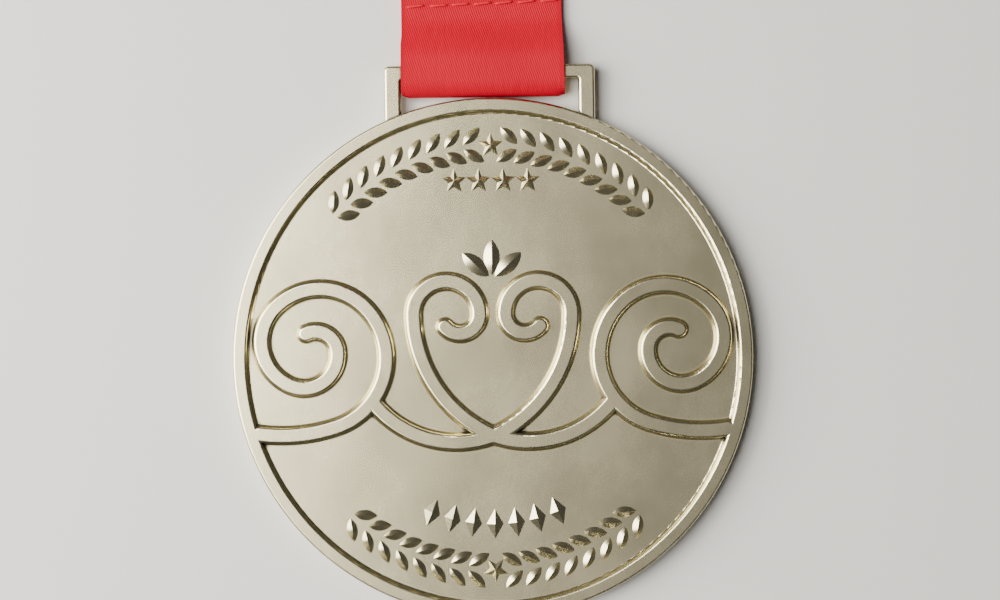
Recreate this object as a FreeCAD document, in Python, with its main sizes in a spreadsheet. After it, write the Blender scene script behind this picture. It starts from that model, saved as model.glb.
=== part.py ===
import FreeCAD, Part
import Sketcher
import math
import os

# A sports finisher medal: a round die-cast disc with a raised rim and raised ornament, a rectangular
# bail cast on its top edge, and a satin neck ribbon sewn round the bail's bar. The ribbon's spare
# length is folded into a flat hank and held by a band. Millimetres. The medal lies on its back: the
# origin is the disc's centre on the back face, +Z is out of the front and +Y points up the ribbon.

Vector = FreeCAD.Vector
Z_AXIS = Vector(0, 0, 1)

DRIVING_SIZES = [
    ("disc_radius", 35.0, "outside of the rim"),
    ("disc_height", 3.2, "back face to the top of the rim"),
    ("rim_width", 1.75, "flat top of the rim, edge roundings included"),
    ("rim_slope", 0.25, "width of the rim's sloping inner wall"),
    ("relief_height", 0.85, "field to the tops of the rim and the ornament"),
    ("edge_round", 0.3, "rounding of the rim's edges"),
    ("foot_round", 0.25, "hollow at the foot of the rim's wall"),
    ("stroke_width", 2.7, "foot width of the raised scroll line"),
    ("stroke_shoulder", 0.4, "rounding of the scroll line's upper edges"),
    ("stroke_slope", 0.25, "lean of the scroll line's walls"),
    ("leaf_length", 3.2, "one garland leaf"),
    ("leaf_width", 1.45, "one garland leaf"),
    ("leaf_pitch", 2.5, "from one pair of garland leaves to the next"),
    ("garland_inset", 4.4, "edge of the field to the centre line of the garlands"),
    ("star_radius", 1.75, "centre of a star to its points"),
    ("star_pitch", 3.3, "from one star to the next"),
    ("star_row_drop", 4.8, "top garland's centre line down to the row of stars"),
    ("lozenge_height", 4.0, "one lozenge of the lower row"),
    ("lozenge_width", 2.3, "one lozenge of the lower row"),
    ("lozenge_pitch", 2.9, "from one lozenge to the next"),
    ("lozenge_drop", 6.2, "bottom garland's centre line in to the row of lozenges"),
    ("sprig_leaf_length", 4.8, "one of the three leaves above the heart"),
    ("sprig_leaf_width", 2.2, "one of the three leaves above the heart"),
    ("ornament_height", 0.6, "garlands, stars and lozenges above the field"),
    ("slot_gap", 2.55, "top of the disc to the underside of the bar"),
    ("bar_width", 1.9, "bail's bar, across"),
    ("bar_height", 1.8, "bail's bar and legs, front to back"),
    ("leg_width", 2.2, "bail's legs, across"),
    ("bail_corner", 0.7, "rounding of the bail's outer corners"),
    ("bail_inner_corner", 0.3, "rounding of the slot's corners"),
    ("bail_edge", 0.35, "rounding of the bail's long edges"),
    ("ribbon_width", 22.0, "neck ribbon"),
    ("ribbon_ply", 0.4, "thickness of one layer of ribbon"),
    ("slot_play", 2.0, "width of the slot beyond the ribbon's"),
    ("side_gap", 0.2, "ribbon's edge to the bail's left leg"),
    ("bar_gap", 0.4, "bar to the ribbon in front of it and behind it"),
    ("fold_gap", 0.2, "disc to the fold of ribbon in the slot"),
    ("loop_length", 12.7, "fold in the slot to the seam"),
    ("seam_margin", 2.6, "seam to the loop's end, and to the sewn-in end's cut"),
    ("crease_width", 0.7, "groove that the stitches lie in"),
    ("crease_depth", 0.12, "groove that the stitches lie in"),
    ("stitch_length", 2.3, "one stitch"),
    ("stitch_pitch", 3.0, "from one stitch to the next"),
    ("stitch_width", 0.4, "sewing thread"),
    ("hinge_gap", 0.1, "rounded end of the sewn stack to the free strands"),
    ("strand_length", 3.4, "free strands between the seam and the hank"),
    ("hank_length", 68.0, "folded ribbon, end to end"),
    ("hank_height", 7.4, "stack of folded layers"),
    ("hank_spread", 0.6, "how much wider the stack is than the ribbon"),
    ("hank_round", 1.6, "rounding of the stack's folded ends"),
    ("band_width", 6.0, "band round the hank"),
    ("band_ply", 0.5, "thickness of the band"),
]

# The scroll is drawn for a field of radius one and mirrored left to right. Each line starts at a
# point with a heading in degrees and goes on as (radius, turn) arcs; a positive turn is to the left.
SCROLL_LINES = [
    (
        (0.9565, -0.3008),
        188.4,
        [(0.70, -26.4), (0.294, -118), (0.257, -90), (0.196, -110), (0.138, -120), (0.089, -110)],
    ),
    ((0.0, -0.318), 24, [(0.544, 66), (0.135, 180), (0.080, 140)]),
    ((0.0, -0.318), -20, [(0.434, 72)]),
]


# The small ornaments. Angles are in degrees round the disc's centre from the middle of each garland.
TOP, BOTTOM = 90, -90
TOP_GARLAND_SPAN, BOTTOM_GARLAND_SPAN = 47, 42
LEAF_SPREAD = 38  # how far a garland leaf leans from the garland's own line
LEAF_RIDGE = 1.1  # steepness of a leaf's sides, over what would just meet at the ornament's height
LEAVES_START = 1.45  # leaf pitches from the star in the middle to the first pair of leaves
STAR_COLUMNS = (-1.5, -0.5, 0.5, 1.5)
STAR_WAIST = 0.45  # inner corners' distance from a star's centre, as a share of its points'
LOZENGE_COLUMNS = (-3, -2, -1, 0, 1, 2, 3)
SPRIG_PLACE = 0.32  # above the centre, in field radii
SPRIG_LEANS = (-48, 0, 48)


class Size:
    """A length that carries its number and the spreadsheet expression that it comes from."""

    def __init__(self, value, text):
        self.value = value
        self.text = text

    def joined(self, other, sign, value, swapped=False):
        text = other.text if isinstance(other, Size) else repr(float(other))
        first, second = (text, self.text) if swapped else (self.text, text)
        return Size(value, f"({first} {sign} {second})")

    def __add__(self, other):
        return self.joined(other, "+", self.value + number(other))

    def __sub__(self, other):
        return self.joined(other, "-", self.value - number(other))

    def __rsub__(self, other):
        return self.joined(other, "-", number(other) - self.value, swapped=True)

    def __mul__(self, other):
        return self.joined(other, "*", self.value * number(other))

    def __truediv__(self, other):
        return self.joined(other, "/", self.value / number(other))

    def __neg__(self):
        return Size(-self.value, f"(0 - {self.text})")


def number(size):
    return size.value if isinstance(size, Size) else float(size)


def expression(size):
    return size.text if isinstance(size, Size) else repr(float(size))


class Sizes:
    """The driving sizes by name, and the places that follow from them."""

    def __init__(self, document):
        sheet = document.addObject("Spreadsheet::Sheet", "Sizes")
        for row, (alias, value, note) in enumerate(DRIVING_SIZES, start=1):
            sheet.set(f"A{row}", alias)
            sheet.set(f"B{row}", str(value))
            sheet.setAlias(f"B{row}", alias)
            sheet.set(f"C{row}", note)
        document.recompute()
        for alias, _, _ in DRIVING_SIZES:
            setattr(self, alias, Size(float(getattr(sheet, alias)), f"Sizes.{alias}"))
        self.field_level = self.disc_height - self.relief_height
        self.field_radius = self.disc_radius - self.rim_width - self.rim_slope
        self.garland_radius = self.field_radius - self.garland_inset
        self.star_row = self.garland_radius - self.star_row_drop
        self.lozenge_radius = self.garland_radius - self.lozenge_drop
        self.bar_low_y = self.disc_radius + self.slot_gap
        self.bar_high_y = self.bar_low_y + self.bar_width
        self.loop_inside = self.bar_height / 2 + self.bar_gap
        self.bar_centre_z = self.ribbon_ply + self.loop_inside
        self.slot_half = (self.ribbon_width + self.slot_play) / 2
        self.ribbon_low_x = self.side_gap - self.slot_half
        self.ribbon_mid_x = self.ribbon_low_x + self.ribbon_width / 2
        self.fold_y = self.disc_radius + self.fold_gap
        self.seam_y = self.fold_y + self.loop_length
        self.stack_top = self.ribbon_ply * 3
        self.hinge_y = self.seam_y + self.seam_margin
        self.hinge_z = self.stack_top / 2
        self.strand_y = self.hinge_y + self.hinge_z + self.hinge_gap
        self.hank_y = self.strand_y + self.strand_length
        self.band_low_y = self.hank_y + (self.hank_length - self.band_width) / 2


# ---- helpers for sketches and features ----


def new_body(document, label):
    body = document.addObject("PartDesign::Body", label)
    body.Label = label
    return body


def new_sketch(body, name, plane_role, offset=None):
    """A sketch on one of the body's own origin planes, lifted along the plane's normal by offset."""
    plane = next(f for f in body.Origin.OriginFeatures if f.Role == plane_role)
    sketch = body.newObject("Sketcher::SketchObject", name)
    sketch.AttachmentSupport = [(plane, "")]
    sketch.MapMode = "FlatFace"
    if offset is not None:
        sketch.setExpression("AttachmentOffset.Base.z", expression(offset))
    return sketch


def pin(sketch, element, point, place):
    """Holds one point of a sketch element at a place measured from the sketch's origin."""
    for kind, coordinate in zip(("DistanceX", "DistanceY"), place):
        index = sketch.addConstraint(
            Sketcher.Constraint(kind, -1, 1, element, point, number(coordinate))
        )
        sketch.setExpression(f"Constraints[{index}]", expression(coordinate))


def draw_loop(sketch, steps):
    """A closed outline. Each step is (x, y) for a straight run to that point, or (x, y, radius, side)
    for an arc to it, whose centre lies to the left of the run when side is 1 and to the right at -1."""
    for before, step in zip([steps[-1], *steps[:-1]], steps):
        start = Vector(number(before[0]), number(before[1]), 0)
        end = Vector(number(step[0]), number(step[1]), 0)
        if len(step) == 2:
            element = sketch.addGeometry(Part.LineSegment(start, end), False)
            ends = (1, 2)
        else:
            radius, side = step[2], step[3]
            half = (end - start).Length / 2
            across = Vector(start.y - end.y, end.x - start.x, 0).normalize()
            reach = math.sqrt(max(number(radius) ** 2 - half**2, 0.0))
            middle = (start + end) * 0.5 - across * (side * (number(radius) - reach))
            element = sketch.addGeometry(Part.Arc(start, middle, end), False)
            ends = (1, 2) if side == 1 else (2, 1)
            index = sketch.addConstraint(Sketcher.Constraint("Radius", element, number(radius)))
            sketch.setExpression(f"Constraints[{index}]", expression(radius))
        if len(step) == 2 or number(step[2]) > half + 1e-6:
            pin(sketch, element, ends[0], before)
        else:
            pin_half_round(sketch, element, ends[0], before)
        pin(sketch, element, ends[1], step)


def pin_half_round(sketch, element, point, place):
    """A half round's radius already sets how far apart its ends are, so one end needs one distance."""
    index = sketch.addConstraint(
        Sketcher.Constraint("DistanceX", -1, 1, element, point, number(place[0]))
    )
    sketch.setExpression(f"Constraints[{index}]", expression(place[0]))


def pad(body, sketch, name, length):
    feature = body.newObject("PartDesign::Pad", name)
    feature.Profile = sketch
    feature.setExpression("Length", expression(length))
    sketch.Visibility = False
    return feature


def pocket(body, sketch, name, reverse=False):
    """Cuts right through the body and checks that something was taken away."""
    body.Document.recompute()
    before = body.Shape.Volume
    feature = body.newObject("PartDesign::Pocket", name)
    feature.Profile = sketch
    feature.Type = "ThroughAll"
    feature.Reversed = reverse
    body.Document.recompute()
    if not body.Shape.Volume < before:
        raise RuntimeError(f"{name} of {body.Label} cuts nothing")
    return feature


def fillet(body, name, radius, chosen):
    """Rounds the edges of the body's tip that chosen(edge) picks."""
    body.Document.recompute()
    tip = body.Tip
    names = [f"Edge{i}" for i, edge in enumerate(tip.Shape.Edges, start=1) if chosen(edge)]
    if not names:
        raise RuntimeError(f"{name} of {body.Label} finds no edge")
    feature = body.newObject("PartDesign::Fillet", name)
    feature.Base = (tip, names)
    feature.setExpression("Radius", expression(radius))
    return feature


def is_ring(edge, radius, level):
    """Whether an edge is a full circle round the Z axis at this radius and height."""
    return (
        isinstance(edge.Curve, Part.Circle)
        and abs(edge.Curve.Radius - number(radius)) < 1e-4
        and abs(edge.CenterOfMass.z - number(level)) < 1e-4
    )


def along(edge, direction):
    """Whether an edge is straight and parallel to a direction."""
    if not isinstance(edge.Curve, Part.Line):
        return False
    return abs(abs(edge.Curve.Direction.dot(direction)) - 1) < 1e-6


def flat_level(edge, levels):
    """Whether an edge lies level at one of the heights."""
    box = edge.BoundBox
    return box.ZLength < 1e-6 and any(abs(box.ZMin - number(level)) < 1e-6 for level in levels)


# ---- the disc and its raised ornament ----


def polar(radius, angle):
    return Vector(radius * math.cos(math.radians(angle)), radius * math.sin(math.radians(angle)), 0)


def stroke_section(sizes, sides):
    """The scroll line's section in the XZ plane, sunk into the field: its right half when sides is
    (1,) and all of it when sides is (1, -1)."""
    half = sizes.stroke_width.value / 2
    top = sizes.disc_height.value
    field = sizes.field_level.value
    low = field / 2
    shoulder = sizes.stroke_shoulder.value
    wall = half - sizes.stroke_slope.value
    inset = shoulder * (1 - math.sqrt(0.5))
    flat = wall - shoulder
    outline = []
    for side in sides:
        corners = ((0, low), (half, low), (half, field), (wall, top - shoulder))
        walls = [Vector(side * x, 0, z) for x, z in corners]
        edges = [Part.LineSegment(a, b).toShape() for a, b in zip(walls, walls[1:])]
        shoulder_middle = Vector(side * (wall - inset), 0, top - inset)
        edges.append(Part.Arc(walls[-1], shoulder_middle, Vector(side * flat, 0, top)).toShape())
        edges.append(Part.LineSegment(Vector(side * flat, 0, top), Vector(0, 0, top)).toShape())
        outline += edges if side == 1 else edges[::-1]
    if sides == (1,):
        outline.append(Part.LineSegment(Vector(0, 0, top), Vector(0, 0, low)).toShape())
    return Part.Face(Part.Wire(outline))


def placed(shape, angle, place):
    copy = shape.copy()
    copy.Placement = FreeCAD.Placement(place, FreeCAD.Rotation(Z_AXIS, angle))
    return copy


def arc_stroke(section, place, heading, radius, turn):
    """A bent run of the scroll line: its section turned about the arc's centre. Gives the solid, the
    point where it ends and the heading there."""
    side = math.copysign(90, turn)
    centre = place + polar(radius, heading + side)
    solid = placed(section, heading + 90, place).revolve(centre, Z_AXIS, turn)
    return solid, centre + polar(radius, heading - side + turn), heading + turn


def scroll_solids(sizes):
    """Every run of the scroll, with a round end at both ends of each line, on both sides of the middle."""
    section = stroke_section(sizes, (1, -1))
    round_end = stroke_section(sizes, (1,)).revolve(Vector(0, 0, 0), Z_AXIS, 360)
    scale = sizes.field_radius.value
    solids = []
    for (start_x, start_y), heading, turns in SCROLL_LINES:
        place = Vector(start_x, start_y, 0) * scale
        solids.append(placed(round_end, 0, place))
        for radius, turn in turns:
            run, place, heading = arc_stroke(section, place, heading, radius * scale, turn)
            solids.append(run)
        solids.append(placed(round_end, 0, place))
    return solids + [solid.mirror(Vector(0, 0, 0), Vector(1, 0, 0)) for solid in solids]


def leaf(sizes, length, width):
    """A leaf along +X from the origin: the shared part of two cones, whose sides meet in a ridge."""
    rise = sizes.ornament_height.value
    low = sizes.field_level.value - rise
    radius = (length**2 + width**2) / (4 * width)
    lean = width / 2 * LEAF_RIDGE
    cones = []
    for side in (1, -1):
        cone = Part.makeCone(radius + lean, radius - lean, 2 * rise)
        cone.translate(Vector(length / 2, side * (radius - width / 2), low))
        cones.append(cone)
    return cones[0].common(cones[1]).Solids[0]


def pyramid(sizes, outline):
    """A faceted peak over an outline round the origin. Its foot is as far below the field as its peak
    is above it, and twice the outline's size."""
    rise = sizes.ornament_height.value
    peak = Vector(0, 0, sizes.field_level.value + rise)
    foot = Vector(0, 0, sizes.field_level.value - rise)
    corners = [foot + corner * 2 for corner in outline]
    sides = zip(corners, corners[1:] + corners[:1])
    faces = [Part.Face(Part.makePolygon([a, b, peak, a])) for a, b in sides]
    faces.append(Part.Face(Part.makePolygon([*corners, corners[0]])))
    return Part.makeSolid(Part.makeShell(faces))


def star(sizes, points=5):
    outer = sizes.star_radius.value
    reaches = [outer, outer * STAR_WAIST] * points
    return pyramid(sizes, [polar(reach, TOP + k * 180 / points) for k, reach in enumerate(reaches)])


def lozenge(sizes):
    half_x, half_y = sizes.lozenge_width.value / 2, sizes.lozenge_height.value / 2
    return pyramid(sizes, [polar(half_x, 0), polar(half_y, 90), polar(half_x, 180), polar(half_y, 270)])


def garland(sizes, middle, half_span):
    """Pairs of leaves along an arc round the disc's centre, growing from its ends to its middle."""
    radius = sizes.garland_radius.value
    step = math.degrees(sizes.leaf_pitch.value / radius)
    one = leaf(sizes, sizes.leaf_length.value, sizes.leaf_width.value)
    solids = []
    for k in range(int(half_span / step)):
        for side in (1, -1):
            angle = middle + side * (k + LEAVES_START) * step
            growth = angle - side * 90
            for spread in (LEAF_SPREAD, -LEAF_SPREAD):
                offset = polar(sizes.leaf_width.value / 4, growth + math.copysign(90, spread))
                solids.append(placed(one, growth + spread, polar(radius, angle) + offset))
    return solids


def small_ornaments(sizes):
    """The two garlands with their stars, the rows of stars and lozenges, and the sprig of leaves."""
    garland_radius = sizes.garland_radius.value
    solids = garland(sizes, TOP, TOP_GARLAND_SPAN) + garland(sizes, BOTTOM, BOTTOM_GARLAND_SPAN)
    solids.append(placed(star(sizes), 0, polar(garland_radius, TOP)))
    solids.append(placed(star(sizes), 180, polar(garland_radius, BOTTOM)))
    for column in STAR_COLUMNS:
        place = Vector(column * sizes.star_pitch.value, sizes.star_row.value, 0)
        solids.append(placed(star(sizes), 0, place))
    step = math.degrees(sizes.lozenge_pitch.value / sizes.lozenge_radius.value)
    for column in LOZENGE_COLUMNS:
        angle = BOTTOM + column * step
        solids.append(placed(lozenge(sizes), angle - BOTTOM, polar(sizes.lozenge_radius.value, angle)))
    sprig_leaf = leaf(sizes, sizes.sprig_leaf_length.value, sizes.sprig_leaf_width.value)
    sprig_foot = polar(SPRIG_PLACE * sizes.field_radius.value, TOP)
    for lean in SPRIG_LEANS:
        place = sprig_foot + polar(sizes.sprig_leaf_width.value / 4, TOP + lean)
        solids.append(placed(sprig_leaf, TOP + lean, place))
    return solids


def make_disc(document, sizes):
    blank = new_body(document, "disc_blank")
    section = new_sketch(blank, "DiscSection", "XZ_Plane")
    draw_loop(
        section,
        [
            (0, 0),
            (sizes.disc_radius, 0),
            (sizes.disc_radius, sizes.disc_height),
            (sizes.disc_radius - sizes.rim_width, sizes.disc_height),
            (sizes.field_radius, sizes.field_level),
            (0, sizes.field_level),
        ],
    )
    turned = blank.newObject("PartDesign::Revolution", "DiscTurned")
    turned.Profile = section
    turned.ReferenceAxis = (section, ["V_Axis"])
    turned.Angle = 360
    section.Visibility = False
    rim_edges = [
        (sizes.disc_radius, 0),
        (sizes.disc_radius, sizes.disc_height),
        (sizes.disc_radius - sizes.rim_width, sizes.disc_height),
    ]
    fillet(blank, "RimEdges", sizes.edge_round, lambda edge: any(is_ring(edge, r, z) for r, z in rim_edges))
    foot = (sizes.field_radius, sizes.field_level)
    fillet(blank, "RimFoot", sizes.foot_round, lambda edge: is_ring(edge, *foot))
    document.recompute()
    scroll, small = scroll_solids(sizes), small_ornaments(sizes)
    medal = document.addObject("Part::Feature", "medal_disc")
    medal.Shape = blank.Shape.multiFuse(scroll + small).removeSplitter()
    medal.Label = "medal_disc"
    check_ornament(sizes, medal.Shape, medal.Shape.Volume - blank.Shape.Volume, scroll, small)
    return medal


def check_ornament(sizes, medal, gain, scroll, small):
    """Checks that the disc has gained about what the scroll adds, and the middle of every small one."""
    level = sizes.field_level.value + sizes.ornament_height.value / 3
    middles = [Vector(solid.CenterOfMass.x, solid.CenterOfMass.y, level) for solid in small]
    if gain < 0.3 * sum(run.Volume for run in scroll):
        raise RuntimeError("some of the scroll is missing from the disc")
    if not all(medal.isInside(middle, 1e-4, True) for middle in middles):
        raise RuntimeError("some of the small ornaments are missing from the disc")


# ---- the bail ----


def make_bail(document, sizes):
    """A square-cornered frame that stands on the disc's edge and leaves a slot for the ribbon."""
    body = new_body(document, "ribbon_bail")
    half = sizes.slot_half + sizes.leg_width
    low_z = sizes.bar_centre_z - sizes.bar_height / 2
    high_z = sizes.bar_centre_z + sizes.bar_height / 2
    inside_y = sizes.disc_radius / 2
    frame = new_sketch(body, "BailOutline", "XY_Plane", low_z)
    draw_loop(
        frame,
        [
            (half, inside_y),
            (half, sizes.bar_high_y),
            (-half, sizes.bar_high_y),
            (-half, inside_y),
            (-sizes.slot_half, inside_y),
            (-sizes.slot_half, sizes.bar_low_y),
            (sizes.slot_half, sizes.bar_low_y),
            (sizes.slot_half, inside_y),
        ],
    )
    pad(body, frame, "BailFrame", sizes.bar_height)

    def corner(edge, y):
        return along(edge, Z_AXIS) and abs(edge.CenterOfMass.y - number(y)) < 1e-4

    fillet(body, "OuterCorners", sizes.bail_corner, lambda edge: corner(edge, sizes.bar_high_y))
    fillet(body, "SlotCorners", sizes.bail_inner_corner, lambda edge: corner(edge, sizes.bar_low_y))
    document.recompute()
    foot_y = number(inside_y)
    fillet(
        body,
        "BailEdges",
        sizes.bail_edge,
        lambda edge: flat_level(edge, (low_z, high_z)) and edge.CenterOfMass.y > foot_y + 1e-3,
    )
    seat = new_sketch(body, "DiscSeat", "XY_Plane", low_z)
    circle = seat.addGeometry(Part.Circle(Vector(0, 0, 0), Z_AXIS, sizes.disc_radius.value), False)
    seat.addConstraint(Sketcher.Constraint("Coincident", circle, 3, -1, 1))
    index = seat.addConstraint(Sketcher.Constraint("Radius", circle, sizes.disc_radius.value))
    seat.setExpression(f"Constraints[{index}]", sizes.disc_radius.text)
    pocket(body, seat, "DiscSeatCut", reverse=True)
    return body


# ---- the ribbon ----


def crosswise_sketch(body, name, low_x):
    """A sketch across the ribbon: its x is the object's Y and its y is the object's Z."""
    return new_sketch(body, name, "YZ_Plane", low_x)


def crease(body, name, sizes, low_x, level, depth_sign):
    """The groove that a row of stitches pulls into the ribbon's face."""
    sketch = crosswise_sketch(body, name + "Section", low_x)
    left = sizes.seam_y - sizes.crease_width / 2
    right = sizes.seam_y + sizes.crease_width / 2
    floor = level - sizes.crease_depth if depth_sign < 0 else level + sizes.crease_depth
    draw_loop(sketch, [(left, level), (left, floor), (right, floor), (right, level)])
    return pocket(body, sketch, name, reverse=True)


def make_loop(document, sizes):
    """The ribbon round the bail's bar: one layer behind it, the fold in the slot, one layer in front,
    and the sewn stack, whose rounded end is where the rest of the ribbon bends."""
    body = new_body(document, "ribbon_loop")
    ply = sizes.ribbon_ply
    outside = sizes.loop_inside + ply
    fold_centre = sizes.fold_y + outside
    front_top = sizes.bar_centre_z + outside
    rest_y = sizes.bar_high_y + ply
    meet_y = sizes.seam_y - sizes.crease_width * 2
    outline = crosswise_sketch(body, "LoopOutline", sizes.ribbon_low_x)
    draw_loop(
        outline,
        [
            (meet_y, ply),
            (meet_y, 0),
            (fold_centre, 0),
            (fold_centre, front_top, outside, -1),
            (rest_y, front_top),
            (meet_y, sizes.stack_top),
            (sizes.hinge_y, sizes.stack_top),
            (sizes.hinge_y, ply),
        ],
    )
    pad(body, outline, "LoopPad", sizes.ribbon_width)
    inside = crosswise_sketch(body, "LoopInside", sizes.ribbon_low_x)
    inside_top = sizes.bar_centre_z + sizes.loop_inside
    tip_y = meet_y - ply * 2
    draw_loop(
        inside,
        [
            (tip_y, ply),
            (fold_centre, ply),
            (fold_centre, inside_top, sizes.loop_inside, -1),
            (rest_y, inside_top),
            (tip_y, ply * 2),
        ],
    )
    pocket(body, inside, "LoopHollow", reverse=True)
    crease(body, "FrontCrease", sizes, sizes.ribbon_low_x, sizes.stack_top, -1)
    return body


def make_sewn_end(document, sizes):
    """The ribbon's other end, sewn to the back of the loop."""
    body = new_body(document, "ribbon_sewn_end")
    sketch = crosswise_sketch(body, "SewnEndSection", sizes.ribbon_low_x)
    start = sizes.seam_y - sizes.crease_width * 2
    draw_loop(
        sketch,
        [(start, 0), (sizes.hinge_y, 0), (sizes.hinge_y, sizes.ribbon_ply), (start, sizes.ribbon_ply)],
    )
    pad(body, sketch, "SewnEndPad", sizes.ribbon_width)
    crease(body, "BackCrease", sizes, sizes.ribbon_low_x, Size(0.0, "0"), 1)
    return body


def make_bend(document, sizes):
    """The rounded bend that the free strands turn about, right across the end of the sewn stack."""
    body = new_body(document, "ribbon_bend")
    sketch = crosswise_sketch(body, "BendSection", sizes.ribbon_low_x)
    draw_loop(sketch, [(sizes.hinge_y, 0), (sizes.hinge_y, sizes.stack_top, sizes.hinge_z, 1)])
    pad(body, sketch, "BendPad", sizes.ribbon_width)
    return body


def make_strand(document, sizes, label, layer):
    """One of the two strands that lie on each other between the seam and the hank."""
    body = new_body(document, label)
    sketch = crosswise_sketch(body, "StrandSection", sizes.ribbon_low_x)
    low = sizes.ribbon_ply * layer
    high = sizes.ribbon_ply * (layer + 1)
    near, far = sizes.strand_y, sizes.hank_y
    draw_loop(sketch, [(near, low), (far, low), (far, high), (near, high)])
    pad(body, sketch, "StrandPad", sizes.ribbon_width)
    return body


def make_hank(document, sizes):
    """The outer shape of the folded ribbon, with a waist where the band grips it."""
    body = new_body(document, "ribbon_hank")
    low_x = sizes.ribbon_low_x - sizes.hank_spread / 2
    width = sizes.ribbon_width + sizes.hank_spread
    end_y = sizes.hank_y + sizes.hank_length
    outline = crosswise_sketch(body, "HankOutline", low_x)
    strands = sizes.ribbon_ply * 2
    draw_loop(
        outline,
        [
            (sizes.hank_y, 0),
            (sizes.band_low_y, 0),
            (sizes.band_low_y, sizes.band_ply),
            (sizes.band_low_y + sizes.band_width, sizes.band_ply),
            (sizes.band_low_y + sizes.band_width, 0),
            (end_y, 0),
            (end_y, sizes.hank_height),
            (sizes.band_low_y + sizes.band_width, sizes.hank_height),
            (sizes.band_low_y + sizes.band_width, sizes.hank_height - sizes.band_ply),
            (sizes.band_low_y, sizes.hank_height - sizes.band_ply),
            (sizes.band_low_y, sizes.hank_height),
            (sizes.hank_y, sizes.hank_height),
            (sizes.hank_y, strands),
        ],
    )
    pad(body, outline, "HankPad", width)
    across = Vector(1, 0, 0)
    ends = (number(sizes.hank_y), number(end_y))

    def folded_edge(edge):
        centre = edge.CenterOfMass
        at_end = min(abs(centre.y - ends[0]), abs(centre.y - ends[1])) < 1e-4
        square_foot = centre.y < ends[0] + 1 and centre.z < number(strands) + 1e-4
        return along(edge, across) and at_end and not square_foot

    fillet(body, "FoldedEnds", sizes.hank_round, folded_edge)
    return body


def make_band(document, sizes):
    """The flat band that holds the folded ribbon together."""
    body = new_body(document, "ribbon_band")
    ply = sizes.band_ply
    low_x = sizes.ribbon_low_x - sizes.hank_spread / 2
    high_x = low_x + sizes.ribbon_width + sizes.hank_spread
    sketch = new_sketch(body, "BandOutline", "XZ_Plane", -(sizes.band_low_y + sizes.band_width))
    left, right = low_x - ply, high_x + ply
    draw_loop(sketch, [(left, 0), (right, 0), (right, sizes.hank_height), (left, sizes.hank_height)])
    pad(body, sketch, "BandPad", sizes.band_width)
    fillet(body, "BandCorners", ply * 1.5, lambda edge: along(edge, Vector(0, 1, 0)))
    hole = new_sketch(body, "BandInside", "XZ_Plane", -(sizes.band_low_y + sizes.band_width))
    high_z = sizes.hank_height - ply
    draw_loop(hole, [(low_x, ply), (high_x, ply), (high_x, high_z), (low_x, high_z)])
    pocket(body, hole, "BandHollow", reverse=True)
    return body


# ---- the seam ----


def make_stitches(document, sizes, label, floor):
    """A row of lockstitches right across the ribbon, each a thread with round ends in the crease."""
    width = sizes.stitch_width.value
    height = sizes.crease_depth.value
    count = int((sizes.ribbon_width.value - sizes.stitch_length.value) / sizes.stitch_pitch.value) + 1
    straight = sizes.stitch_length.value - width
    first = sizes.ribbon_mid_x.value - (count - 1) * sizes.stitch_pitch.value / 2
    stitches = []
    for k in range(count):
        centre = Vector(first + k * sizes.stitch_pitch.value, sizes.seam_y.value, floor)
        thread = Part.makeBox(straight, width, height, centre - Vector(straight / 2, width / 2, 0))
        for side in (1, -1):
            end = Part.makeCylinder(width / 2, height, centre + Vector(side * straight / 2, 0, 0))
            thread = thread.fuse(end)
        stitches.append(thread.removeSplitter())
    row = document.addObject("Part::Feature", label)
    row.Shape = Part.makeCompound(stitches)
    row.Placement = FreeCAD.Placement()
    row.Label = label
    return row


def checked(document):
    document.recompute()
    for item in document.Objects:
        if "Invalid" in item.State or "Error" in item.State:
            raise RuntimeError(f"{item.Label} failed: {item.State}")


def main():
    document = FreeCAD.newDocument("FinisherMedal")
    sizes = Sizes(document)
    pieces = [
        make_disc(document, sizes),
        make_bail(document, sizes),
        make_loop(document, sizes),
        make_sewn_end(document, sizes),
        make_bend(document, sizes),
        make_strand(document, sizes, "ribbon_back_strand", 0),
        make_strand(document, sizes, "ribbon_front_strand", 1),
        make_hank(document, sizes),
        make_band(document, sizes),
        make_stitches(
            document, sizes, "seam_needle_thread", number(sizes.stack_top - sizes.crease_depth)
        ),
        make_stitches(document, sizes, "seam_bobbin_thread", 0.0),
    ]
    checked(document)
    os.makedirs("parts", exist_ok=True)
    for piece in pieces:
        if piece.Shape.isNull() or not piece.Shape.isValid() or piece.Shape.Volume <= 0:
            raise RuntimeError(f"{piece.Label} has no valid shape")
        if len(piece.Shape.Solids) != 1 and not piece.Label.startswith("seam"):
            raise RuntimeError(f"{piece.Label} came apart")
        print(f"{piece.Label}: {piece.Shape.Volume:.1f} mm3, {len(piece.Shape.Solids)} solids")
        piece.Shape.exportStep(f"parts/{piece.Label}.step")


main()
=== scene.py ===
import math
import random

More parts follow.
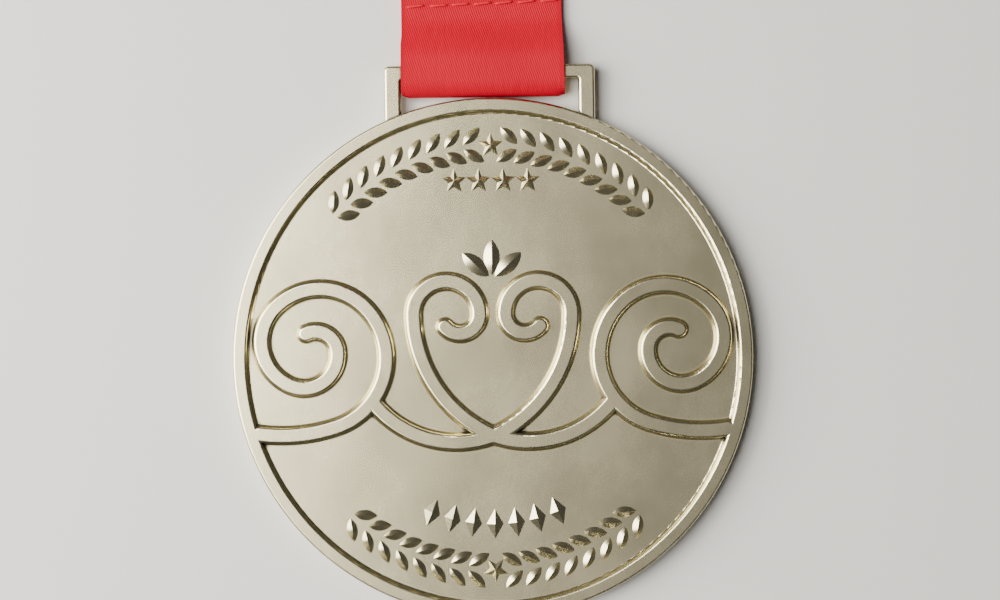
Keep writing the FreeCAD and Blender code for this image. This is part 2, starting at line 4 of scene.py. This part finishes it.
import bmesh
import bpy
import numpy as np
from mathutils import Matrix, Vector


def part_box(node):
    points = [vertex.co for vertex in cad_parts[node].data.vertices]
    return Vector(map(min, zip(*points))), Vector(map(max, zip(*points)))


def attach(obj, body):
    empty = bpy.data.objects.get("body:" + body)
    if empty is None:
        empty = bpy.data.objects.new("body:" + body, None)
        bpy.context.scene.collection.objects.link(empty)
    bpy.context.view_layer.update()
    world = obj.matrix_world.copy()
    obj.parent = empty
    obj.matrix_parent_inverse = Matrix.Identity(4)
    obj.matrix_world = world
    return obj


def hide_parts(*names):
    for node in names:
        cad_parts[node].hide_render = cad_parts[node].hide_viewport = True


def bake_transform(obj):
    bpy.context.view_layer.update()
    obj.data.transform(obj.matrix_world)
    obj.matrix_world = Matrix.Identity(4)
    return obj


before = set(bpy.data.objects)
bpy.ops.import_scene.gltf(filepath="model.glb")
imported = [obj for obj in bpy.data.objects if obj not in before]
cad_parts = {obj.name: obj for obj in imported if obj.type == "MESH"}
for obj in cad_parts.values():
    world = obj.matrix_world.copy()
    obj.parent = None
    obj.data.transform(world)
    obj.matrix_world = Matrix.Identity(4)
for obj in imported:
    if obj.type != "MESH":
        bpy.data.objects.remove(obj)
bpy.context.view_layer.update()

# A sports finisher medal lying on its back. Everything is in metres, in the part's own frame: the
# disc's centre is the origin, +Z is out of the front and +Y points up the ribbon.

MM = 0.001
TAU = 2 * math.pi
SEED = 7

# The ribbon.
CLOTH = 0.36 * MM  # one layer, a little under the layer that the part allows
COLUMNS = 25  # points across the strip
FINE, EVEN, COARSE = 0.16 * MM, 0.25 * MM, 0.5 * MM  # steps along the strip
HANK_STEP = 1.1 * MM
FOLD_REACH = 2.1 * MM  # how far the fold in the slot bulges from its centre line
SELVEDGE = 0.75  # in the weave map's millimetres

# The seam.
STITCHES = 7
STITCH_LENGTH = 2.45 * MM
THREAD = 0.40 * MM
SEAM_TILT = 0.034  # rise of the seam to the right, as a slope
DIP_WIDTH = 0.42 * MM  # half width of the hollow that the stitches pull into the cloth

BAND_WALL = 0.46 * MM


def mean(a, b):
    return (a + b) / 2


class Place:
    """Where the ribbon's stretches run, from the part's own boxes."""

    def __init__(self):
        loop_low, loop_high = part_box("ribbon_loop")
        strand_low, strand_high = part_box("ribbon_back_strand")
        bend_low, bend_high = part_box("ribbon_bend")
        seam_low, seam_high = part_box("seam_needle_thread")
        self.hank_low, self.hank_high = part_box("ribbon_hank")
        self.band_low, self.band_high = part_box("ribbon_band")
        self.ply = strand_high.z - strand_low.z
        self.width = loop_high.x - loop_low.x
        self.mid_x = mean(loop_low.x, loop_high.x)
        self.slot_left = loop_low.x - 0.12 * MM
        self.fold_y = loop_low.y
        self.loop_top = loop_high.z
        self.bail_top_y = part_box("ribbon_bail")[1].y
        self.seam_y = mean(seam_low.y, seam_high.y)
        self.seam_top = seam_high.z
        self.sewn_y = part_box("ribbon_sewn_end")[0].y
        self.hinge_y = loop_high.y
        self.hinge_z = mean(bend_low.z, bend_high.z)


place = Place()


# ---- shader building ----


class Signal:
    """A shader socket that adds Math nodes when it is used in an expression."""

    def __init__(self, finish, socket):
        self.finish = finish
        self.socket = socket

    def combine(self, operation, a, b):
        return self.finish.node("ShaderNodeMath", {"operation": operation}, {0: a, 1: b})

    def __add__(self, other):
        return self.combine("ADD", self, other)

    def __radd__(self, other):
        return self.combine("ADD", other, self)

    def __sub__(self, other):
        return self.combine("SUBTRACT", self, other)

    def __rsub__(self, other):
        return self.combine("SUBTRACT", other, self)

    def __mul__(self, other):
        return self.combine("MULTIPLY", self, other)


class Finish:
    """A material whose nodes all come from node()."""

    def __init__(self, name):
        self.material = bpy.data.materials.new(name)
        self.material.use_nodes = True
        self.tree = self.material.node_tree
        self.shader = self.tree.nodes["Principled BSDF"]

    def plug(self, socket, value):
        if isinstance(value, Signal):
            self.tree.links.new(value.socket, socket)
        elif isinstance(value, tuple) and socket.type == "RGBA":
            socket.default_value = (*value, 1.0)
        else:
            socket.default_value = value

    def node(self, kind, settings=None, inputs=None, output=0):
        """One node: its settings first, then its sockets by name or number. Gives one output."""
        made = self.tree.nodes.new(kind)
        for key, value in (settings or {}).items():
            setattr(made, key, value)
        for key, value in (inputs or {}).items():
            self.plug(made.inputs[key], value)
        return Signal(self, made.outputs[output])

    def set(self, **inputs):
        for key, value in inputs.items():
            self.plug(self.shader.inputs[key.replace("_", " ").title().replace("Ior", "IOR")], value)

    def object_place(self):
        return self.node("ShaderNodeTexCoord", output=3)

    def axis(self, where, number):
        return self.node("ShaderNodeSeparateXYZ", None, {0: where}, number)

    def sine(self, value):
        return self.node("ShaderNodeMath", {"operation": "SINE"}, {0: value})

    def mix(self, share, a, b):
        return self.node("ShaderNodeMix", {"data_type": "RGBA"}, {0: share, 6: a, 7: b}, 2)

    def noise(self, where, scale, detail=2.0, roughness=0.5):
        inputs = {"Vector": where, "Scale": scale, "Detail": detail, "Roughness": roughness}
        return self.node("ShaderNodeTexNoise", None, inputs)

    def between(self, value, low, high):
        """0 below low, 1 above high, smooth between."""
        settings = {"interpolation_type": "SMOOTHSTEP"}
        return self.node("ShaderNodeMapRange", settings, {"Value": value, "From Min": low, "From Max": high})

    def bump(self, height, distance, strength, under=None):
        inputs = {"Height": height, "Distance": distance, "Strength": strength}
        if under is not None:
            inputs["Normal"] = under
        return self.node("ShaderNodeBump", None, inputs)

    def hidden(self, distance, inside=False):
        """How much of the surroundings nearby surfaces hide, within a distance."""
        settings = {"samples": 16, "inside": inside}
        return 1.0 - self.node("ShaderNodeAmbientOcclusion", settings, {"Distance": distance}, 1)


def antique_nickel():
    """Satin nickel plate. Its colour is darkened in the corners, partly patina in the hollows and partly
    painted shade, and lightened on the edges, partly rubbed wear and partly a painted highlight.
    """
    f = Finish("antique_nickel")
    here = f.object_place()
    # painted shade and patina: the colour goes near black where nearby surfaces hide the surroundings
    patina_and_shade = f.between(f.hidden(0.9 * MM), 0.20, 0.42)
    # painted highlight and rubbed wear: the colour is lightened on the convex edges
    wear_and_highlight = f.between(f.hidden(0.35 * MM, inside=True), 0.12, 0.42)
    cloud = f.noise(here, 90.0, 3.0, 0.55)
    grain = f.noise(here, 5200.0, 2.0, 0.6)
    peel = f.noise(here, 620.0)
    plate = f.mix(cloud, (0.73, 0.665, 0.435), (0.79, 0.72, 0.48))
    # the edges lightened in the colour: part rubbed wear, part painted highlight
    plate = f.mix(wear_and_highlight * 0.7, plate, (0.93, 0.87, 0.65))
    # the corners darkened in the colour: part patina, part painted shade
    f.set(base_color=f.mix(patina_and_shade * 0.94, plate, (0.024, 0.017, 0.010)))
    f.set(metallic=1.0 - patina_and_shade * 0.15, specular_tint=(0.26, 0.25, 0.22))
    f.set(roughness=0.20 + cloud * 0.10 + grain * 0.03 + patina_and_shade * 0.25 - wear_and_highlight * 0.04)
    relief = f.bump(peel, 0.02 * MM, 0.3)
    f.set(normal=f.bump(grain, 0.006 * MM, 0.12, relief))
    return f.material


def satin_ribbon():
    """Red woven satin: a fine steep twill, with denser selvedges. The map is in millimetres."""
    f = Finish("red_satin")
    where = f.node("ShaderNodeUVMap", {"uv_map": "weave"})
    across, along = f.axis(where, 0), f.axis(where, 1)
    twill = f.sine((across * 0.95 + along * 0.31) * (TAU / 0.29)) * 0.5 + 0.5
    weft = f.sine(along * (TAU / 0.42) + across * 0.6) * 0.5 + 0.5
    drawn_out = f.node("ShaderNodeVectorMath", {"operation": "MULTIPLY"}, {0: where, 1: (1.0, 0.12, 1.0)})
    yarn = f.noise(drawn_out, 3.1, 3.0)
    cloud = f.noise(where, 0.16)
    edge = place.width / MM / 2
    off_middle = f.node("ShaderNodeMath", {"operation": "ABSOLUTE"}, {0: across})
    selvedge = f.between(off_middle, edge - SELVEDGE, edge - SELVEDGE * 0.6)
    deep = f.mix(cloud, (0.34, 0.0003, 0.010), (0.43, 0.0005, 0.014))
    bright = f.mix(yarn, (0.50, 0.0006, 0.018), (0.64, 0.001, 0.028))
    f.set(base_color=f.mix(twill * 0.6 + yarn * 0.35 - selvedge * 0.25, deep, bright))
    f.set(roughness=0.42 + yarn * 0.14 + selvedge * 0.12)
    f.set(sheen_weight=0.03, sheen_roughness=0.4, sheen_tint=(1.0, 0.12, 0.18), specular_ior_level=0.08)
    cloth = f.bump(twill * (1.0 - selvedge) + weft * (selvedge * 0.8 + 0.06), 0.06 * MM, 0.6)
    f.set(normal=f.bump(yarn, 0.05 * MM, 0.5, cloth))
    return f.material


def sewing_thread():
    """Twisted polyester thread, a shade lighter than the ribbon."""
    f = Finish("sewing_thread")
    fibre = f.noise(f.object_place(), 9000.0)
    f.set(base_color=f.mix(fibre, (0.46, 0.001, 0.013), (0.68, 0.008, 0.030)))
    f.set(roughness=0.45 + fibre * 0.2, specular_ior_level=0.3)
    f.set(normal=f.bump(fibre, 0.03 * MM, 0.6))
    return f.material


def woven_elastic():
    """Off-white elastic: fine ribs along it, crossed by the covering threads."""
    f = Finish("woven_elastic")
    here = f.object_place()
    ribs = f.sine(f.axis(here, 1) * (TAU / (0.62 * MM)))
    threads = f.sine((f.axis(here, 0) + f.axis(here, 2)) * (TAU / (0.5 * MM)))
    fuzz = f.noise(here, 2600.0, 3.0)
    height = ribs * 0.5 + threads * 0.18 + fuzz * 0.5
    f.set(base_color=f.mix(f.between(height, -0.2, 0.8), (0.52, 0.50, 0.45), (0.82, 0.80, 0.74)))
    f.set(roughness=0.72 + fuzz * 0.15, sheen_weight=0.2)
    f.set(normal=f.bump(height, 0.12 * MM, 0.7))
    return f.material


def pale_floor():
    f = Finish("pale_floor")
    cloud = f.noise(f.object_place(), 3.0)
    f.set(base_color=f.mix(cloud, (0.74, 0.73, 0.72), (0.78, 0.77, 0.76)), roughness=0.6 + cloud * 0.1)
    return f.material


# ---- the ribbon's route ----


def smooth(t):
    t = np.clip(t, 0.0, 1.0)
    return t * t * (3 - 2 * t)


def run(start, end, step):
    """Evenly spaced points of a run from start to end that eases from one height to the other."""
    count = max(2, int(abs(end[0] - start[0]) / step))
    shares = np.linspace(0, 1, count, endpoint=False)
    return [(start[0] + (end[0] - start[0]) * t, start[1] + (end[1] - start[1]) * smooth(t)) for t in shares]


def half_round(centre_y, low_z, high_z, side, steps=14, reach=None):
    """A half turn from one height to another. It bulges towards +Y when side is 1."""
    radius = (high_z - low_z) / 2
    reach = abs(radius) if reach is None else reach
    middle = mean(low_z, high_z)
    angles = np.linspace(-math.pi / 2, math.pi / 2, steps, endpoint=False)
    return [(centre_y + side * reach * math.cos(a), middle + radius * math.sin(a)) for a in angles]


class Hank:
    """The folded stack: how high each layer lies at any place along it, and where each fold is."""

    LAYERS = 12
    # The layers that the ribbon takes in turn, counted from the bottom, as both strands fold together.
    ORDER = (1, 2, 5, 6, 9, 10, 11, 8, 7, 4, 3, 0)
    GRIP = 0.5 * MM  # how much the band presses the stack together, from above and from below
    EASE = 9 * MM  # from the band to where the stack has its full height

    def __init__(self, shuffle):
        low, high = place.hank_low, place.hank_high
        middles = high.z - low.z - place.ply
        self.base = place.ply / 2
        self.pitch = middles / (self.LAYERS - 1) * 0.97
        self.waist_base = self.base + self.GRIP
        self.waist_pitch = (middles - 2 * self.GRIP) / (self.LAYERS - 1)
        self.waist_y = mean(place.band_low.y, place.band_high.y)
        self.waist_half = (place.band_high.y - place.band_low.y) / 2
        reach = 1.5 * self.pitch + place.ply / 2
        self.folds = {}
        for pair in range(self.LAYERS // 2):
            self.folds[pair, 1] = high.y - reach - shuffle.uniform(0.1, 1.1) * MM
            self.folds[pair, -1] = low.y + reach + shuffle.uniform(0.1, 1.2) * MM

    def height(self, layer, y):
        """The middle of a layer at y: evenly stacked at the ends and pressed together in the waist."""
        press = 1 - smooth((abs(y - self.waist_y) - self.waist_half * 0.9) / self.EASE)
        base = self.base + (self.waist_base - self.base) * press
        pitch = self.pitch + (self.waist_pitch - self.pitch) * press
        return base + layer * pitch

    def layer_run(self, layer, start, end):
        count = int(abs(end - start) / HANK_STEP)
        return [(y, self.height(layer, y)) for y in np.linspace(start, end, count, endpoint=False)]

    def route(self):
        """The ribbon's middle line from where it enters the stack to where it leaves it."""
        points = []
        here, side = place.hank_low.y, 1
        for layer, following in zip(self.ORDER, self.ORDER[1:]):
            fold = self.folds[min(layer, following) // 2, side]
            points += self.layer_run(layer, here, fold)
            points += half_round(fold, self.height(layer, fold), self.height(following, fold), side)
            here, side = fold, -side
        return points + self.layer_run(self.ORDER[-1], here, place.hank_low.y)


def ribbon_route(shuffle):
    """The whole strip's middle line, from the end that is sewn inside the seam, round the bail's bar,
    up through the hank and back to the end that is sewn behind it."""
    ply = place.ply
    behind, inside, front = ply / 2, ply * 1.5, ply * 2.5
    over_bar = place.loop_top - ply / 2 - 0.05 * MM
    fold_y = place.fold_y + FOLD_REACH + CLOTH / 2 - 0.06 * MM
    past_bar_y = place.bail_top_y + 0.5 * MM
    below_stack_y = place.sewn_y - 1.6 * MM
    points = run((place.hinge_y - 0.2 * MM, inside), (place.sewn_y + 0.6 * MM, inside), FINE * 2)
    points += run((place.sewn_y + 0.6 * MM, inside), (below_stack_y, behind), EVEN)
    points += run((below_stack_y, behind), (fold_y, behind), COARSE)
    points += half_round(fold_y, behind, over_bar, -1, 30, FOLD_REACH)
    points += run((fold_y, over_bar), (past_bar_y, over_bar), EVEN)
    points += run((past_bar_y, over_bar), (place.sewn_y - 0.1 * MM, front), EVEN)
    points += run((place.sewn_y - 0.1 * MM, front), (place.hinge_y, front), FINE)
    points += run((place.hinge_y, front), (place.hank_low.y, inside), EVEN)
    points += Hank(shuffle).route()
    points += run((place.hank_low.y, behind), (place.sewn_y, behind), FINE * 2)
    points.append((place.sewn_y, behind))
    return np.array(points)


# ---- the ribbon's surface ----


def seam_line(x):
    """How far up the ribbon the seam is: it was sewn a little askew."""
    return place.seam_y + (x - place.mid_x) * SEAM_TILT


def spread(across, y, z):
    """Where the ribbon's columns lie about its middle: pulled out to the left where it is drawn flat
    over the bar, and drawn in at the seam."""
    over_bar = math.exp(-(((y - place.bail_top_y + 0.4 * MM) / (3.4 * MM)) ** 2))
    over_bar *= smooth((z - 1.6 * MM) / (1.2 * MM))
    at_seam = math.exp(-(((y - place.seam_y) / (7 * MM)) ** 2))
    left = np.minimum(across, 0) * (0.034 * over_bar + 0.008 * at_seam)
    return across + left - np.maximum(across, 0) * 0.026 * at_seam


def rounded_fold(across, y):
    """How far the fold in the slot draws back at its two corners."""
    near_edge = smooth((np.abs(across) - place.width / 2 + 0.9 * MM) / (0.9 * MM))
    return 0.34 * MM * near_edge**2 * smooth((place.fold_y + 1.3 * MM - y) / (1.3 * MM))


def strip_surface(route, shuffle):
    """The strip's middle surface as rows of points, with the distances along it and across it."""
    steps = np.linalg.norm(np.diff(route, axis=0), axis=1)
    along = np.concatenate([[0.0], np.cumsum(steps)])
    across = np.linspace(-0.5, 0.5, COLUMNS) * place.width * 0.995
    layer_length = 66 * MM
    wander_at = np.arange(0, along[-1] + layer_length, layer_length)
    wander = [shuffle.uniform(-0.28, 0.28) * MM for _ in wander_at]
    in_hank = smooth((route[:, 0] - place.hank_low.y) / (6 * MM))
    drift = np.interp(along, wander_at, wander) * in_hank
    in_front = (route[:, 1] > place.ply * 2) & (route[:, 0] < place.hinge_y)
    behind = (route[:, 1] < place.ply) & (along > along[-1] / 2)
    pull = in_front * -0.13 * MM + behind * 0.078 * MM
    rows = []
    for k, (y, z) in enumerate(route):
        xs = place.mid_x + spread(across, y, z) + drift[k]
        ys = y + across * 0.004 * in_hank[k] + rounded_fold(across, y)
        dip = np.exp(-(((y - seam_line(xs)) / DIP_WIDTH) ** 2)) * pull[k]
        bow = 0.05 * MM * np.sin(across / place.width * 9.0 + y * 210.0) * (1 - 0.5 * in_hank[k])
        zs = z + dip + bow * smooth((z - place.ply) / (2 * MM))
        rows.append(np.stack([np.maximum(xs, place.slot_left), ys, zs], 1))
    return np.array(rows), along, across


def strip_mesh(name, rows, along, across):
    """A one-sided grid of faces through the rows, with the weave map in millimetres."""
    count, columns = rows.shape[:2]
    index = np.arange(count * columns).reshape(count, columns)
    faces = np.stack([index[:-1, :-1], index[1:, :-1], index[1:, 1:], index[:-1, 1:]], -1).reshape(-1, 4)
    mesh = bpy.data.meshes.new(name)
    mesh.from_pydata(rows.reshape(-1, 3).tolist(), [], faces.tolist())
    layer = mesh.uv_layers.new(name="weave")
    u = np.tile(across / MM, count)
    v = np.repeat(along / MM, columns)
    corners = faces.reshape(-1)
    layer.data.foreach_set("uv", np.stack([u[corners], v[corners]], 1).reshape(-1))
    piece = bpy.data.objects.new(name, mesh)
    bpy.context.scene.collection.objects.link(piece)
    return piece


def only(piece):
    """Selects one object and makes it the active one."""
    bpy.ops.object.select_all(action="DESELECT")
    piece.select_set(True)
    bpy.context.view_layer.objects.active = piece


def finish_with(piece, name, kind, **settings):
    """Adds a modifier and applies it."""
    modifier = piece.modifiers.new(name, kind)
    for key, value in settings.items():
        setattr(modifier, key, value)
    only(piece)
    bpy.ops.object.modifier_apply(modifier=name)


def neck_ribbon():
    """The whole satin strip as one sheet of cloth."""
    shuffle = random.Random(SEED)
    rows, along, across = strip_surface(ribbon_route(shuffle), shuffle)
    ribbon = strip_mesh("neck_ribbon", rows, along, across)
    finish_with(ribbon, "thickness", "SOLIDIFY", thickness=CLOTH, offset=0.0, use_rim=True)
    bpy.ops.object.shade_smooth_by_angle(angle=math.radians(50))
    ribbon.data.materials.append(satin_ribbon())
    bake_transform(ribbon)
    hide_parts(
        "ribbon_loop",
        "ribbon_sewn_end",
        "ribbon_bend",
        "ribbon_back_strand",
        "ribbon_front_strand",
        "ribbon_hank",
    )
    print("ribbon length", round(float(along[-1]), 4), "m")


# ---- the band round the hank ----


def elastic_band():
    """A flat elastic with rounded corners."""
    low, high = place.band_low, place.band_high
    bpy.ops.object.select_all(action="DESELECT")
    bpy.ops.mesh.primitive_cube_add(size=1, location=(low + high) / 2)
    band = bpy.context.object
    band.name = "elastic_band"
    band.scale = (high.x - low.x - BAND_WALL, high.y - low.y, high.z - low.z - BAND_WALL)
    bpy.ops.object.transform_apply(location=True, rotation=True, scale=True)
    mesh = bmesh.new()
    mesh.from_mesh(band.data)
    ends = [face for face in mesh.faces if abs(face.normal.y) > 0.9]
    bmesh.ops.delete(mesh, geom=ends, context="FACES_ONLY")
    long_edges = [edge for edge in mesh.edges if abs((edge.verts[0].co - edge.verts[1].co).y) > 1 * MM]
    bmesh.ops.bevel(mesh, geom=long_edges, offset=1.3 * MM, segments=7, affect="EDGES", profile=0.5)
    mesh.to_mesh(band.data)
    mesh.free()
    finish_with(band, "wall", "SOLIDIFY", thickness=BAND_WALL, offset=0.0, use_even_offset=True)
    finish_with(band, "edges", "BEVEL", width=0.14 * MM, segments=2, angle_limit=math.radians(50))
    bpy.ops.object.shade_smooth_by_angle(angle=math.radians(40))
    band.data.materials.append(woven_elastic())
    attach(band, "neck_ribbon")
    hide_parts("ribbon_band")


# ---- the seam ----


def one_stitch(level, upward):
    """One stitch along X: two plies of thread twisted together, both ends drawn into the cloth."""
    bpy.ops.object.select_all(action="DESELECT")
    bpy.ops.mesh.primitive_cylinder_add(
        vertices=14, radius=THREAD / 2, depth=STITCH_LENGTH, rotation=(0, math.pi / 2, 0)
    )
    stitch = bpy.context.object
    bpy.ops.object.transform_apply(location=True, rotation=True, scale=True)
    mesh = bmesh.new()
    mesh.from_mesh(stitch.data)
    long_edges = [e for e in mesh.edges if abs((e.verts[0].co - e.verts[1].co).x) > STITCH_LENGTH / 2]
    bmesh.ops.subdivide_edges(mesh, edges=long_edges, cuts=23)
    for vertex in mesh.verts:
        share = vertex.co.x / (STITCH_LENGTH / 2)
        turn = math.atan2(vertex.co.z, vertex.co.y)
        lobes = 1 - 0.20 * (0.5 + 0.5 * math.cos(2 * (turn - share * math.pi * 1.6)))
        taper = math.sqrt(max(0.06, 1 - abs(share) ** 5))
        vertex.co.y *= lobes * taper
        vertex.co.z *= lobes * taper
        vertex.co.z += level + (0.064 - 0.256 * share**4) * THREAD * upward
    bmesh.ops.recalc_face_normals(mesh, faces=mesh.faces)
    mesh.to_mesh(stitch.data)
    mesh.free()
    bpy.ops.object.shade_smooth()
    return stitch


def seam(name, node, level, upward, finish):
    """A row of stitches where the part has them."""
    low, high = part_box(node)
    end_inset = 1.15 * MM
    pitch = (high.x - low.x - 2 * end_inset) / (STITCHES - 1)
    shuffle = random.Random(SEED + STITCHES)
    first = one_stitch(level, upward)
    row = [first]
    for _ in range(STITCHES - 1):
        stitch = first.copy()
        stitch.data = first.data.copy()
        bpy.context.scene.collection.objects.link(stitch)
        row.append(stitch)
    for k, stitch in enumerate(row):
        x = low.x + end_inset + k * pitch + shuffle.uniform(-0.1, 0.1) * MM
        stitch.location = (x, seam_line(x) + shuffle.uniform(-0.05, 0.05) * MM, 0)
        stitch.rotation_euler = (0, 0, math.radians(5 + shuffle.uniform(-2.5, 2.5)))
    bpy.ops.object.select_all(action="DESELECT")
    for stitch in row:
        stitch.select_set(True)
    bpy.context.view_layer.objects.active = first
    bpy.ops.object.transform_apply(location=True, rotation=True, scale=True)
    bpy.ops.object.join()
    first.name = name
    first.data.materials.append(finish)
    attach(first, "sewn_loop")
    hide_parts(node)


# ---- the whole medal ----


def dress_metal():
    finish = antique_nickel()
    for node in ("medal_disc", "ribbon_bail"):
        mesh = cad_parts[node].data
        mesh.materials.clear()
        mesh.materials.append(finish)


def studio():
    """A pale floor, a weak fill, and two large soft lamps to the left, one low and one high."""
    bpy.ops.object.select_all(action="DESELECT")
    bpy.ops.mesh.primitive_plane_add(size=3, location=(0, 0, -0.02 * MM))
    floor = bpy.context.object
    floor.name = "floor"
    floor.data.materials.append(pale_floor())
    world = bpy.data.worlds.new("studio")
    bpy.context.scene.world = world
    world.use_nodes = True
    background = world.node_tree.nodes["Background"]
    background.inputs["Color"].default_value = (0.86, 0.88, 0.92, 1)
    background.inputs["Strength"].default_value = 0.07
    lamps = [
        ("window", (-0.36, 0.06, 0.22), 0.34, 3.6, (1.0, 0.96, 0.88)),
        ("overhead", (-0.40, 0.05, 0.74), 0.54, 9.9, (1.0, 0.97, 0.90)),
    ]
    for name, where, size, power, colour in lamps:
        data = bpy.data.lights.new(name, "AREA")
        data.size = size
        data.energy = power
        data.color = colour
        lamp = bpy.data.objects.new(name, data)
        lamp.location = where
        lamp.rotation_euler = (-Vector(where)).to_track_quat("-Z", "Y").to_euler()
        bpy.context.scene.collection.objects.link(lamp)


def camera():
    """Straight above, looking down, the disc's lower edge just outside the frame."""
    data = bpy.data.cameras.new("camera")
    eye = bpy.data.objects.new("camera", data)
    distance = 0.32
    view_width = 134.4 * MM
    data.lens = data.sensor_width * distance / view_width
    eye.location = (1.04 * MM, 7.74 * MM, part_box("medal_disc")[1].z + distance)
    eye.rotation_euler = (0, 0, math.radians(-0.75))
    bpy.context.scene.collection.objects.link(eye)
    bpy.context.scene.camera = eye


camera()
studio()
dress_metal()
neck_ribbon()
elastic_band()
thread = sewing_thread()
seam("needle_stitches", "seam_needle_thread", place.seam_top - 0.06 * MM, 1, thread)
seam("bobbin_stitches", "seam_bobbin_thread", 0.22 * MM, -1, thread)
